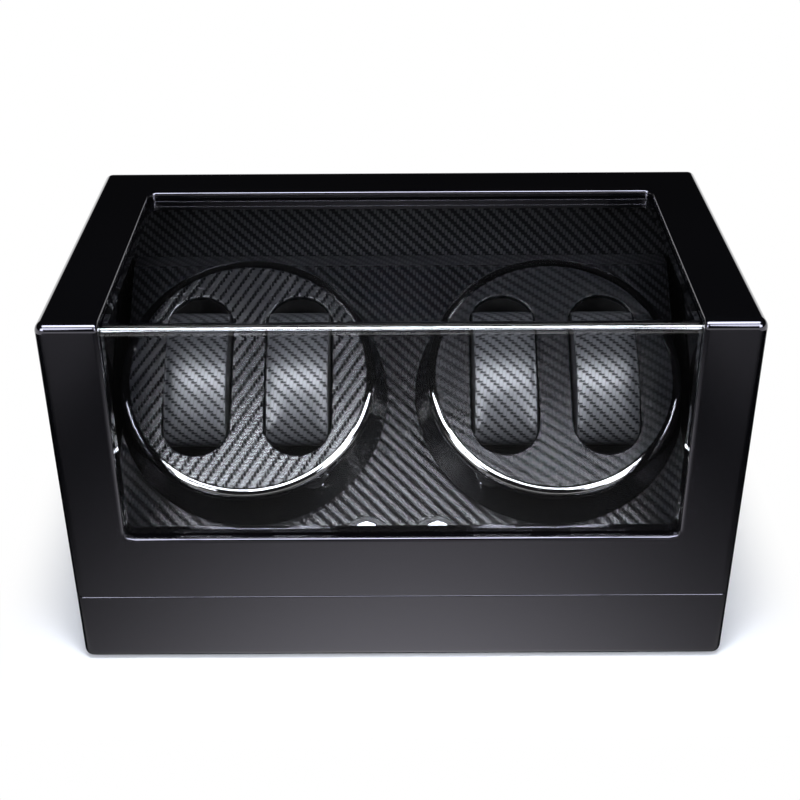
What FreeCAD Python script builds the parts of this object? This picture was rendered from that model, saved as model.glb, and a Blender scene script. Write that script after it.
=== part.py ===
# Watch winder box: a lacquered box on rubber feet, with a hinged lid, one bent clear pane over the
# front and the top, and two belt-driven turntables on a leaning deck, each with two watch pillows.
# Frame: +Z up, the front faces -Y, the origin is on the resting surface under the box's middle.
# Lengths are in millimetres and angles in degrees.
import FreeCAD, Part
import os
import re

import Sketcher
from FreeCAD import Vector

sizes = {
    # Box walls, base and lid
    "box_width": 335,
    "box_depth": 186,
    "base_height": 40.5,
    "lid_height": 157.2,
    "seam_gap": 0.3,
    "wall": 12,
    "edge_round": 5,
    "base_edge_round": 4,
    "seam_round": 0.6,
    # Bottom plate and feet
    "bottom_thickness": 4,
    "bottom_rebate": 6,
    "foot_height": 2,
    "foot_radius": 7,
    "foot_taper": 0.6,
    "foot_inset": 26,
    "bottom_screw_inset": 40,
    # Window in the lid and its bent pane
    "pillar_width": 29.5,
    "rear_strip": 30.5,
    "front_rail": 36.2,
    "window_corner": 4.5,
    "window_round": 2,
    "pane_inset": 3.5,
    "pane_thickness": 3,
    "pane_bend": 5,
    "groove_depth": 5,
    "pane_clearance": 0.4,
    "lining_thickness": 1.2,
    "lining_margin": 1,
    # Deck, its boards and what carries them
    "deck_tilt": 37,
    "deck_thickness": 5,
    "deck_drop": 0.6,
    "deck_side_gap": 4,
    "deck_front_gap": 1,
    "deck_rear_gap": 1.8,
    "ledge_depth": 12.37,
    "board_thickness": 6,
    "ledge_thickness": 4,
    "batten_depth": 10,
    "batten_height": 12,
    "glue_line": 0.1,
    # Turntables
    "turntable_spacing": 161,
    "turntable_gap": 1,
    "turntable_wall_gap": 2,
    "turntable_middle_gap": 15,
    "turntable_front_margin": 31.1,
    "turntable_rear_margin": 6.5,
    "drum_taper": 5.5,
    "rim_width": 4.3,
    "rim_round": 3.6,
    "rim_proud": 0.6,
    "lip_height": 5.6,
    "lip_overhang": 3.5,
    "lip_round": 1.6,
    "drum_height": 30,
    "drum_floor": 3,
    "drum_seat": 5.2,
    "hub_radius": 6.9,
    "hub_height": 12,
    "plate_thickness": 3.5,
    "plate_clearance": 0.5,
    "plate_round": 0.8,
    "slot_bridge": 17.8,
    "slot_side_margin": 19.3,
    "slot_end_margin": 7.94,
    "well_wall": 1.5,
    # Watch pillows
    "pillow_side_gap": 1.5,
    "pillow_end_gap": 7,
    "pillow_height": 38,
    "pillow_end_radius": 13,
    "pillow_crown": 1.2,
    "pillow_edge": 3.6,
    "pillow_rest": 0.3,
    # Spindles, bushes, pulleys and belts
    "spindle_radius": 4,
    "spindle_head_radius": 6,
    "spindle_head": 2,
    "slip_fit": 0.03,
    "running_fit": 0.06,
    "end_float": 0.3,
    "bush_radius": 6.5,
    "bush_flange_radius": 9,
    "bush_flange": 0.7,
    "bush_length": 8,
    "pulley_hub_radius": 9,
    "pulley_hub_length": 12,
    "pulley_width": 7,
    "pulley_flange": 0.5,
    "drive_pitch_radius": 30,
    "motor_pitch_radius": 7.5,
    "belt_span": 52,
    "belt_radius": 1.5,
    "belt_clearance": 0.3,
    "clip_radius": 7,
    "clip_thickness": 1,
    "clip_groove": 0.8,
    # Gear motors and their brackets
    "bracket_drop": 17,
    "bracket_thickness": 1.5,
    "bracket_length": 33.2,
    "bracket_width": 18,
    "bracket_foot": 11,
    "gearbox_radius": 18.5,
    "gearbox_length": 20,
    "motor_radius": 12.2,
    "motor_length": 26,
    "motor_boss_radius": 6,
    "motor_boss": 2.5,
    "motor_shaft_radius": 3,
    "motor_shaft_depth": 9,
    # Control board on its standoffs
    "circuit_width": 90,
    "circuit_depth": 50,
    "circuit_thickness": 1.6,
    "circuit_middle": 30,
    "standoff_height": 6,
    "standoff_radius": 3,
    "standoff_inset": 5,
    "chip_width": 14,
    "chip_height": 3,
    "terminal_width": 40,
    "terminal_depth": 8,
    "terminal_height": 10,
    # Selector knobs, their bezels and switches
    "knob_spacing": 36.8,
    "knob_rise": 21,
    "bezel_radius": 14.6,
    "bezel_thickness": 1.2,
    "bezel_rim": 1.2,
    "bezel_rim_height": 0.6,
    "knob_radius": 9.2,
    "knob_top_radius": 8.6,
    "knob_height": 12,
    "knob_lift": 0.4,
    "knob_chamfer": 0.8,
    "knob_flutes": 20,
    "flute_radius": 0.9,
    "pointer_width": 1.2,
    "pointer_depth": 0.6,
    "stem_radius": 3,
    "stem_depth": 12,
    "switch_width": 15,
    "switch_height": 9,
    "switch_neck_radius": 4.5,
    # Power inlet
    "inlet_offset": 112,
    "inlet_radius": 5.5,
    "inlet_flange_radius": 7.5,
    "inlet_flange": 2,
    "inlet_tail": 6,
    "inlet_bore_radius": 2.9,
    "inlet_bore_depth": 10,
    "inlet_pin_radius": 1.05,
    "inlet_nut_size": 14,
    "inlet_nut": 3,
    # Hinges
    "hinge_spacing": 200,
    "hinge_offset": 3,
    "hinge_length": 44,
    "leaf_width": 9,
    "leaf_thickness": 1.2,
    "knuckle_radius": 2.5,
    "knuckle_gap": 0.3,
    "hinge_pin_radius": 1.25,
    # Screws
    "screw_radius": 1.4,
    "screw_length": 9,
    "screw_head_radius": 2.6,
    "screw_pitch": 15,
    "screw_clearance": 0.1,
    "pan_head_height": 1.4,
    "bracket_screw_length": 5,
}

# Places that several pieces share, worked out from the sizes
places = {
    "front": "-(box_depth + hinge_offset + knuckle_radius) / 2",
    "rear": "front + box_depth",
    "inner_half": "box_width / 2 - wall",
    "plate_top": "foot_height + bottom_thickness",
    "seam": "foot_height + base_height",
    "lid_bottom": "seam + seam_gap",
    "lid_top": "lid_bottom + lid_height",
    "window_half": "box_width / 2 - pillar_width",
    "window_bottom": "lid_bottom + front_rail",
    "window_rear": "rear - rear_strip",
    "deck_half": "inner_half - deck_side_gap",
    "deck_foot_y": "front + wall",
    "deck_foot_z": "seam - deck_drop",
    "deck_rear": "rear - wall - lining_thickness - deck_rear_gap",
    "ledge_y": "deck_rear - ledge_depth",
    "deck_length": "(ledge_y - deck_foot_y) / cos(deck_tilt)",
    "ledge_z": "deck_foot_z + deck_length * sin(deck_tilt)",
    "cheek_inner": "deck_half - board_thickness",
    "room_to_wall": "inner_half - turntable_spacing / 2 - turntable_wall_gap",
    "room_to_middle": "(turntable_spacing - turntable_middle_gap) / 2",
    "room_on_deck": "(deck_length - turntable_front_margin - turntable_rear_margin) / 2",
    "drum_radius": "min(room_to_wall; room_to_middle; room_on_deck)",
    "turntable_rise": "turntable_front_margin + drum_radius",
    "rim_radius": "drum_radius - drum_taper",
    "rim_inner_radius": "rim_radius - rim_width",
    "neck_radius": "rim_radius - lip_overhang",
    "slot_width": "rim_inner_radius - slot_bridge / 2 - slot_side_margin",
    "slot_spacing": "slot_bridge + slot_width",
    "slot_corner": "rim_inner_radius - slot_end_margin - slot_width / 2",
    "slot_reach": "sqrt(slot_corner ^ 2 - (slot_spacing / 2) ^ 2)",
    "pillow_width": "slot_width - 2 * pillow_side_gap",
    "pillow_length": "2 * slot_reach + slot_width - 2 * pillow_end_gap",
    "face_height": "turntable_gap + drum_height",
    "rim_top": "face_height + rim_proud",
    "lip_low": "face_height - lip_height",
    "seat_height": "face_height - plate_thickness",
    "floor_height": "turntable_gap + drum_floor",
    "bush_end": "-bush_length",
    "hub_top": "bush_end - end_float",
    "hub_end": "hub_top - pulley_hub_length",
    "belt_level": "hub_top - pulley_hub_length / 2",
    "bracket_level": "-deck_thickness - bracket_drop",
    "motor_face": "bracket_level - bracket_thickness",
    "pillow_middle": "floor_height + well_wall + pillow_rest + pillow_height / 2",
    "hinge_y": "rear + hinge_offset",
    "hinge_z": "seam + seam_gap / 2",
    "leaf_edge": "hinge_y - knuckle_radius - knuckle_gap",
    "inlet_z": "foot_height + base_height / 2",
}

doc = FreeCAD.newDocument("watch_winder_box")
sheet = doc.addObject("Spreadsheet::Sheet", "sizes")
place_sheet = doc.addObject("Spreadsheet::Sheet", "places")


def with_prefix(expression, names, prefix):
    """Put a sheet's name before each of its aliases in an expression."""
    return re.sub(r"[a-z]\w*", lambda word: prefix * (word[0] in names) + word[0], str(expression))


def bound(expression):
    """An expression in plain aliases, as the document's other objects read it."""
    return with_prefix(with_prefix(expression, sizes, "sizes."), places, "places.")


for row, (alias, number) in enumerate(sizes.items(), start=1):
    sheet.set(f"A{row}", alias)
    sheet.set(f"B{row}", str(number))
    sheet.setAlias(f"B{row}", alias)
for row, (alias, formula) in enumerate(places.items(), start=1):
    place_sheet.set(f"A{row}", alias)
    place_sheet.set(f"B{row}", "=" + with_prefix(formula, sizes, "sizes."))
    place_sheet.setAlias(f"B{row}", alias)
doc.recompute()

NEAR = 0.01
FULL_TURN = 360
UPRIGHT = "rotation(vector(0; 0; 1); 0)"
ALONG_X = "rotation(vector(0; 1; 0); 90)"
DECK_TURN = "rotation(vector(1; 0; 0); deck_tilt)"
HALF_TURN = "rotation(vector(0; 0; 1); 180)"
SIDES = (("left", -1), ("right", 1))
nodes = []


def value(expression):
    """The number that an expression gives with the present sizes."""
    result = sheet.evalExpression(bound(expression))
    return float(getattr(result, "Value", result))


def keep(piece):
    """Count an object as one of the box's sub-parts."""
    nodes.append(piece)
    return piece


def set_at(piece, x, y, z, turn=UPRIGHT):
    """Place an object in the box's own frame."""
    piece.setExpression("Placement", bound(f"placement(vector({x}; {y}; {z}); {turn})"))
    return piece


def set_on_deck(piece, x, rise, height="0", half_turn=False):
    """Place an object by its distance across the deck, up its slope and above its face."""
    y = f"deck_foot_y + ({rise}) * cos(deck_tilt) - ({height}) * sin(deck_tilt)"
    z = f"deck_foot_z + ({rise}) * sin(deck_tilt) + ({height}) * cos(deck_tilt)"
    return set_at(piece, x, y, z, f"{DECK_TURN} * {HALF_TURN}" if half_turn else DECK_TURN)


def new_body(label):
    """A body that is one sub-part."""
    return keep(doc.addObject("PartDesign::Body", label))


def new_sketch(body, plane, offset="0"):
    """A sketch on one of the body's own planes, moved along that plane's normal."""
    sketch = body.newObject("Sketcher::SketchObject", f"{body.Label}_sketch")
    support = next(feature for feature in body.Origin.OriginFeatures if feature.Role == plane)
    sketch.AttachmentSupport = [(support, "")]
    sketch.MapMode = "FlatFace"
    sketch.setExpression("AttachmentOffset.Base.z", bound(offset))
    return sketch


def hold(sketch, kind, geometry, point, expression):
    """A dimension in a sketch: a distance of a point from the origin, or a radius."""
    if kind == "Radius":
        constraint = Sketcher.Constraint(kind, geometry, value(expression))
    else:
        constraint = Sketcher.Constraint(kind, -1, 1, geometry, point, value(expression))
    index = sketch.addConstraint(constraint)
    sketch.setExpression(f"Constraints[{index}]", bound(expression))


def arc_between(start, end, radius, left_turn):
    """The shorter arc of a radius from one point to another."""
    chord = end - start
    across = Vector(-chord.y, chord.x, 0).normalize()
    rise = max(radius ** 2 - chord.Length ** 2 / 4, 0) ** 0.5
    centre = (start + end) / 2 + across * (rise if left_turn else -rise)
    middle = (start + end) / 2 - centre
    return Part.Arc(start, centre + middle.normalize() * radius, end)


def outline(sketch, *corners):
    """A closed outline. A corner is (x, y), or (x, y, turn, radius) where an arc leads to it."""
    first = sketch.GeometryCount
    count = len(corners)
    points = [Vector(value(corner[0]), value(corner[1]), 0) for corner in corners]
    starts = []
    for index in range(count):
        corner = corners[(index + 1) % count]
        start, end = points[index], points[(index + 1) % count]
        if len(corner) == 2:
            sketch.addGeometry(Part.LineSegment(start, end), False)
            starts.append((1, 2))
        else:
            left_turn = corner[2] == "left"
            sketch.addGeometry(arc_between(start, end, value(corner[3]), left_turn), False)
            hold(sketch, "Radius", first + index, 0, corner[3])
            starts.append((1, 2) if left_turn else (2, 1))
    for index in range(count):
        following = (index + 1) % count
        sketch.addConstraint(Sketcher.Constraint(
            "Coincident", first + index, starts[index][1], first + following, starts[following][0]))
    for index, corner in enumerate(corners):
        hold(sketch, "DistanceX", first + index, starts[index][0], corner[0])
        hold(sketch, "DistanceY", first + index, starts[index][0], corner[1])
    return sketch


def rectangle(sketch, left, low, right, high):
    """A rectangle between two corners."""
    return outline(sketch, (left, low), (right, low), (right, high), (left, high))


def circle(sketch, x, y, radius):
    """A circle about a point."""
    index = sketch.addGeometry(Part.Circle(Vector(value(x), value(y), 0), Vector(0, 0, 1), value(radius)))
    hold(sketch, "DistanceX", index, 3, x)
    hold(sketch, "DistanceY", index, 3, y)
    hold(sketch, "Radius", index, 0, radius)
    return sketch


def obround(sketch, x, radius, reach):
    """A slot with round ends, centred at (x, 0), whose end centres lie at y = reach and -reach."""
    middle, far, bend = value(x), value(reach), value(radius)
    quarter = Vector(bend, 0, 0)
    ends = (Vector(middle, far, 0), Vector(middle, -far, 0))
    top = sketch.addGeometry(Part.Arc(ends[0] + quarter, ends[0] + Vector(0, bend, 0), ends[0] - quarter))
    left = sketch.addGeometry(Part.LineSegment(ends[0] - quarter, ends[1] - quarter))
    low = sketch.addGeometry(Part.Arc(ends[1] - quarter, ends[1] - Vector(0, bend, 0), ends[1] + quarter))
    right = sketch.addGeometry(Part.LineSegment(ends[1] + quarter, ends[0] + quarter))
    for this, following in ((top, left), (left, low), (low, right), (right, top)):
        sketch.addConstraint(Sketcher.Constraint("Tangent", this, 2, following, 1))
    for end, distance in ((top, reach), (low, f"-({reach})")):
        hold(sketch, "DistanceX", end, 3, x)
        hold(sketch, "DistanceY", end, 3, distance)
    sketch.addConstraint(Sketcher.Constraint("Equal", top, low))
    hold(sketch, "Radius", top, 0, radius)
    return sketch


def pad(body, sketch, length, both_ways=False, reverse=False):
    """Raise a sketch into a solid."""
    feature = body.newObject("PartDesign::Pad", f"{body.Label}_pad")
    feature.Profile = sketch
    feature.setExpression("Length", bound(length))
    feature.SideType = "Symmetric" if both_ways else "One side"
    feature.Reversed = reverse
    return feature


def pocket(body, sketch, depth, both_ways=False, reverse=False):
    """Cut a sketch into the solid, and make sure that it takes material away."""
    doc.recompute()
    before = body.Shape.Volume
    feature = body.newObject("PartDesign::Pocket", f"{body.Label}_pocket")
    feature.Profile = sketch
    feature.setExpression("Length", bound(depth))
    feature.SideType = "Symmetric" if both_ways else "One side"
    feature.Reversed = reverse
    doc.recompute()
    if body.Shape.Volume > before - NEAR:
        raise RuntimeError(f"a pocket in {body.Label} cuts nothing")
    return feature


def revolve(body, kind, sketch):
    """Turn a sketch about its upright axis, to add material or to groove it."""
    feature = body.newObject(f"PartDesign::{kind}", f"{body.Label}_turned")
    feature.Profile = sketch
    feature.ReferenceAxis = (sketch, ["V_Axis"])
    feature.Angle = FULL_TURN
    return feature


def turned(label, *corners):
    """A body turned about Z from an outline of (radius, height) corners."""
    body = new_body(label)
    revolve(body, "Revolution", outline(new_sketch(body, "XZ_Plane"), *corners))
    return body


def fillet(body, radius, picked):
    """Round the edges of the body that a test picks."""
    doc.recompute()
    base = body.Tip
    names = [f"Edge{number}" for number, edge in enumerate(base.Shape.Edges, start=1) if picked(edge)]
    if not names:
        raise RuntimeError(f"no edge to round in {body.Label}")
    feature = body.newObject("PartDesign::Fillet", f"{body.Label}_fillet")
    feature.Base = (base, names)
    feature.setExpression("Radius", bound(radius))
    return feature


def level(edge, axis, place):
    """Whether an edge lies wholly at one place along an axis."""
    low = getattr(edge.BoundBox, axis + "Min")
    high = getattr(edge.BoundBox, axis + "Max")
    return abs(low - value(place)) < NEAR and abs(high - value(place)) < NEAR


def within(edge, axis, half):
    """Whether an edge keeps between two places, alike on both sides of the middle."""
    low = getattr(edge.BoundBox, axis + "Min")
    high = getattr(edge.BoundBox, axis + "Max")
    return low > -value(half) - NEAR and high < value(half) + NEAR


def upright(edge):
    """Whether an edge stands along Z."""
    return edge.BoundBox.XLength < NEAR and edge.BoundBox.YLength < NEAR


def block(label, length, width, height):
    """A plain block."""
    piece = doc.addObject("Part::Box", label)
    for name, expression in (("Length", length), ("Width", width), ("Height", height)):
        piece.setExpression(name, bound(expression))
    return piece


def rod(label, radius, length):
    """A plain round rod."""
    piece = doc.addObject("Part::Cylinder", label)
    piece.setExpression("Radius", bound(radius))
    piece.setExpression("Height", bound(length))
    return piece


def cone(label, low_radius, high_radius, height):
    """A round piece that tapers from its foot to its top."""
    piece = doc.addObject("Part::Cone", label)
    for name, expression in (("Radius1", low_radius), ("Radius2", high_radius), ("Height", height)):
        piece.setExpression(name, bound(expression))
    return piece


def joined(label, pieces):
    """Several solids made into one."""
    piece = doc.addObject("Part::MultiFuse", label)
    piece.Shapes = pieces
    piece.Refine = True
    return piece


def group(label, pieces):
    """Like pieces that stay separate solids in one sub-part."""
    piece = keep(doc.addObject("Part::Compound", label))
    piece.Links = pieces
    return piece


# Base frame: four lacquered walls with a rebate below for the bottom plate, mortises for the hinges
# and a hole in the rear wall for the power inlet
def make_base_frame():
    body = new_body("base_frame")
    footprint = new_sketch(body, "XY_Plane", "foot_height")
    pad(body, rectangle(footprint, "-box_width / 2", "front", "box_width / 2", "rear"), "base_height")
    fillet(body, "edge_round", upright)
    fillet(body, "base_edge_round", lambda edge: level(edge, "Z", "foot_height"))
    fillet(body, "seam_round", lambda edge: level(edge, "Z", "seam"))
    inside = new_sketch(body, "XY_Plane", "seam")
    rectangle(inside, "-inner_half", "front + wall", "inner_half", "rear - wall")
    pocket(body, inside, "base_height")
    rebate = new_sketch(body, "XY_Plane", "foot_height")
    rectangle(rebate, "-inner_half - bottom_rebate", "front + wall - bottom_rebate",
              "inner_half + bottom_rebate", "rear - wall + bottom_rebate")
    pocket(body, rebate, "bottom_thickness + glue_line", reverse=True)
    cut_hinge_seats(body, "seam", reverse=False)
    hole = new_sketch(body, "XZ_Plane", "-rear")
    pocket(body, circle(hole, "inlet_offset", "inlet_z", "inlet_radius + glue_line"), "wall", reverse=True)
    starts = new_sketch(body, "XY_Plane", "plate_top + glue_line")
    for x, y in bottom_screw_places():
        circle(starts, x, y, "screw_radius + screw_clearance")
    pocket(body, starts, "screw_length", reverse=True)


def cut_hinge_seats(body, face, reverse):
    """Mortises for two hinge leaves in a wall's edge, with their screw holes."""
    seats = new_sketch(body, "XY_Plane", face)
    holes = new_sketch(body, "XY_Plane", face)
    for _, side in SIDES:
        middle = f"{side} * hinge_spacing / 2"
        rectangle(seats, f"{middle} - hinge_length / 2 - glue_line", "rear - leaf_width - glue_line",
                  f"{middle} + hinge_length / 2 + glue_line", "rear + seam_round")
        for step in (-1, 0, 1):
            circle(holes, f"{middle} + {step} * screw_pitch", "rear - leaf_width / 2",
                   "screw_radius + screw_clearance")
    pocket(body, seats, "leaf_thickness + glue_line", reverse=reverse)
    pocket(body, holes, "leaf_thickness + screw_length", reverse=reverse)


def bottom_screw_places():
    """Three screws along the front edge and three along the rear."""
    rows = ("front + wall - bottom_rebate / 2", "rear - wall + bottom_rebate / 2")
    return [(f"{step} * (box_width / 2 - bottom_screw_inset)", y) for y in rows for step in (-1, 0, 1)]


# Bottom plate: hardboard let into the rebate, held by six pan-head screws, with four rubber feet
def make_bottom():
    body = new_body("bottom_plate")
    sketch = new_sketch(body, "XY_Plane", "foot_height")
    edge = "inner_half + bottom_rebate - glue_line"
    rectangle(sketch, f"-({edge})", "front + wall - bottom_rebate + glue_line",
              edge, "rear - wall + bottom_rebate - glue_line")
    for x, y in bottom_screw_places():
        circle(sketch, x, y, "screw_radius + screw_clearance")
    pad(body, sketch, "bottom_thickness")
    screws = []
    for number, (x, y) in enumerate(bottom_screw_places()):
        head = set_at(rod(f"bottom_screw_head_{number}", "screw_head_radius", "pan_head_height"),
                      x, y, "foot_height - pan_head_height")
        shank = rod(f"bottom_screw_shank_{number}", "screw_radius", "bottom_thickness + screw_length")
        set_at(shank, x, y, "foot_height")
        screws.append(joined(f"bottom_screw_{number}", [head, shank]))
    group("bottom_plate_screws", screws)
    feet = []
    for name, side in SIDES:
        for end, y in (("front", "front + foot_inset"), ("rear", "rear - foot_inset")):
            foot = cone(f"foot_{name}_{end}", "foot_radius - foot_taper", "foot_radius", "foot_height")
            feet.append(set_at(foot, f"{side} * (box_width / 2 - foot_inset)", y, "0"))
    group("rubber_feet", feet)


# Lid shell: the upper box, with one opening cut over the front top edge and a groove round it
def make_lid_shell():
    body = new_body("lid_shell")
    footprint = new_sketch(body, "XY_Plane", "lid_bottom")
    pad(body, rectangle(footprint, "-box_width / 2", "front", "box_width / 2", "rear"), "lid_height")
    fillet(body, "edge_round", lambda edge: upright(edge) or level(edge, "Z", "lid_top"))
    fillet(body, "seam_round", lambda edge: level(edge, "Z", "lid_bottom"))
    inside = new_sketch(body, "XY_Plane", "lid_bottom")
    rectangle(inside, "-inner_half", "front + wall", "inner_half", "rear - wall")
    pocket(body, inside, "lid_height - wall", reverse=True)
    opening = new_sketch(body, "YZ_Plane")
    rectangle(opening, "front - edge_round", "window_bottom", "window_rear", "lid_top + edge_round")
    pocket(body, opening, "2 * window_half", both_ways=True)
    fillet(body, "window_corner", is_window_corner)
    groove = bent_section(new_sketch(body, "YZ_Plane"), "pane_thickness + glue_line", "groove_depth")
    pocket(body, groove, "2 * (window_half + groove_depth)", both_ways=True)
    fillet(body, "window_round", is_window_edge)
    cut_hinge_seats(body, "lid_bottom", reverse=True)


def is_window_corner(edge):
    """Whether an edge is one of the opening's four inside corners."""
    at_side = level(edge, "X", "window_half") or level(edge, "X", "-window_half")
    at_low_corner = level(edge, "Z", "window_bottom")
    at_rear_corner = level(edge, "Y", "window_rear")
    return at_side and (at_low_corner or at_rear_corner)


def is_window_edge(edge):
    """Whether an edge is on the outer faces and goes round the opening."""
    over_the_bend = (edge.BoundBox.YMax < value("front + edge_round") + NEAR
                     and edge.BoundBox.ZMin > value("lid_top - edge_round") - NEAR)
    on_outside = level(edge, "Y", "front") or level(edge, "Z", "lid_top") or over_the_bend
    inside_frame = within(edge, "X", "window_half")
    at_front = edge.BoundBox.YMin < value("front") + NEAR
    at_top = edge.BoundBox.ZMax > value("lid_top") - NEAR
    return on_outside and inside_frame and (at_front or at_top)


def bent_section(sketch, thickness, reach):
    """The pane's or the groove's section, a strip bent once, that reaches past the opening's edges."""
    face = "front + pane_inset"
    top = "lid_top - pane_inset"
    low = f"window_bottom - ({reach})"
    rear_edge = f"window_rear + {reach}"
    return outline(sketch,
                   (face, low),
                   (f"{face} + {thickness}", low),
                   (f"{face} + {thickness}", f"{top} - pane_bend"),
                   (f"{face} + pane_bend", f"{top} - ({thickness})", "right", f"pane_bend - ({thickness})"),
                   (rear_edge, f"{top} - ({thickness})"),
                   (rear_edge, top),
                   (f"{face} + pane_bend", top),
                   (face, f"{top} - pane_bend", "left", "pane_bend"))


# Window pane: one clear acrylic sheet bent over the front top edge, held in the groove all round, which
# closes over it as the lid's mitred walls are glued
def make_window_pane():
    body = new_body("window_pane")
    reach = "groove_depth - pane_clearance"
    section = bent_section(new_sketch(body, "YZ_Plane"), "pane_thickness", reach)
    pad(body, section, f"2 * (window_half + {reach})", both_ways=True)


# Rear lining: a thin covered board glued to the inside of the lid's rear wall
def make_rear_lining():
    lining = keep(block("lid_rear_lining", "2 * (inner_half - lining_margin)", "lining_thickness",
                        "lid_height - wall - 2 * lining_margin"))
    set_at(lining, "-inner_half + lining_margin", "rear - wall - lining_thickness",
           "lid_bottom + lining_margin")


# Deck: a leaning covered panel on a front batten and two cheeks, with a level ledge behind it and an
# upright board that closes the back
def make_deck():
    panel = set_on_deck(new_body("deck_panel"), "0", "0")
    sketch = new_sketch(panel, "XY_Plane")
    rectangle(sketch, "-deck_half", "deck_front_gap", "deck_half", "deck_length")
    for _, side in SIDES:
        circle(sketch, f"{side} * turntable_spacing / 2", "turntable_rise", "bush_radius + slip_fit")
        circle(sketch, f"{side} * knob_spacing / 2", "knob_rise", "switch_neck_radius + glue_line")
    pad(panel, sketch, "deck_thickness", reverse=True)
    holes = new_sketch(panel, "XY_Plane", "-deck_thickness")
    for _, side in SIDES:
        for x, y in bracket_screw_places():
            circle(holes, f"{side} * (turntable_spacing / 2 - ({x}))", f"turntable_rise + {y}",
                   "screw_radius + screw_clearance")
    pocket(panel, holes, "bracket_screw_length - bracket_thickness + screw_clearance", reverse=True)

    ledge = new_body("deck_ledge")
    front_edge = "ledge_y + glue_line"
    sketch = new_sketch(ledge, "YZ_Plane")
    outline(sketch,
            (front_edge, "ledge_z"),
            (f"{front_edge} + ledge_thickness * tan(deck_tilt)", "ledge_z - ledge_thickness"),
            ("deck_rear", "ledge_z - ledge_thickness"),
            ("deck_rear", "ledge_z"))
    pad(ledge, sketch, "2 * deck_half", both_ways=True)

    low = "ledge_z - ledge_thickness - glue_line"
    board = keep(block("deck_rear_board", "2 * (cheek_inner - glue_line)", "board_thickness",
                       f"{low} - lid_bottom"))
    set_at(board, "-cheek_inner + glue_line", "deck_rear - board_thickness", "lid_bottom")

    def under_deck(y):
        """The height of the deck's underside over a place from front to rear, less the glue."""
        return (f"deck_foot_z + ({y} - deck_foot_y) * tan(deck_tilt)"
                " - (deck_thickness + glue_line) / cos(deck_tilt)")

    near = "deck_foot_y + deck_front_gap"
    meeting = (f"deck_foot_y + ({low} - deck_foot_z + (deck_thickness + glue_line) / cos(deck_tilt))"
               " / tan(deck_tilt)")
    for name, side in SIDES:
        cheek = new_body(f"deck_cheek_{name}")
        middle = f"{side} * (deck_half - board_thickness / 2)"
        sketch = new_sketch(cheek, "YZ_Plane", middle)
        outline(sketch,
                (near, "plate_top"),
                ("deck_rear", "plate_top"),
                ("deck_rear", low),
                (meeting, low),
                (near, under_deck(near)))
        pad(cheek, sketch, "board_thickness", both_ways=True)

    batten = new_body("deck_front_batten")
    wall_face = "deck_foot_y + glue_line"
    sketch = new_sketch(batten, "YZ_Plane")
    outline(sketch,
            (wall_face, f"{under_deck(wall_face)} - batten_height"),
            (f"{wall_face} + batten_depth", f"{under_deck(wall_face)} - batten_height"),
            (f"{wall_face} + batten_depth", under_deck(f"{wall_face} + batten_depth")),
            (wall_face, under_deck(wall_face)))
    pad(batten, sketch, "2 * (cheek_inner - glue_line)", both_ways=True)


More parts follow.
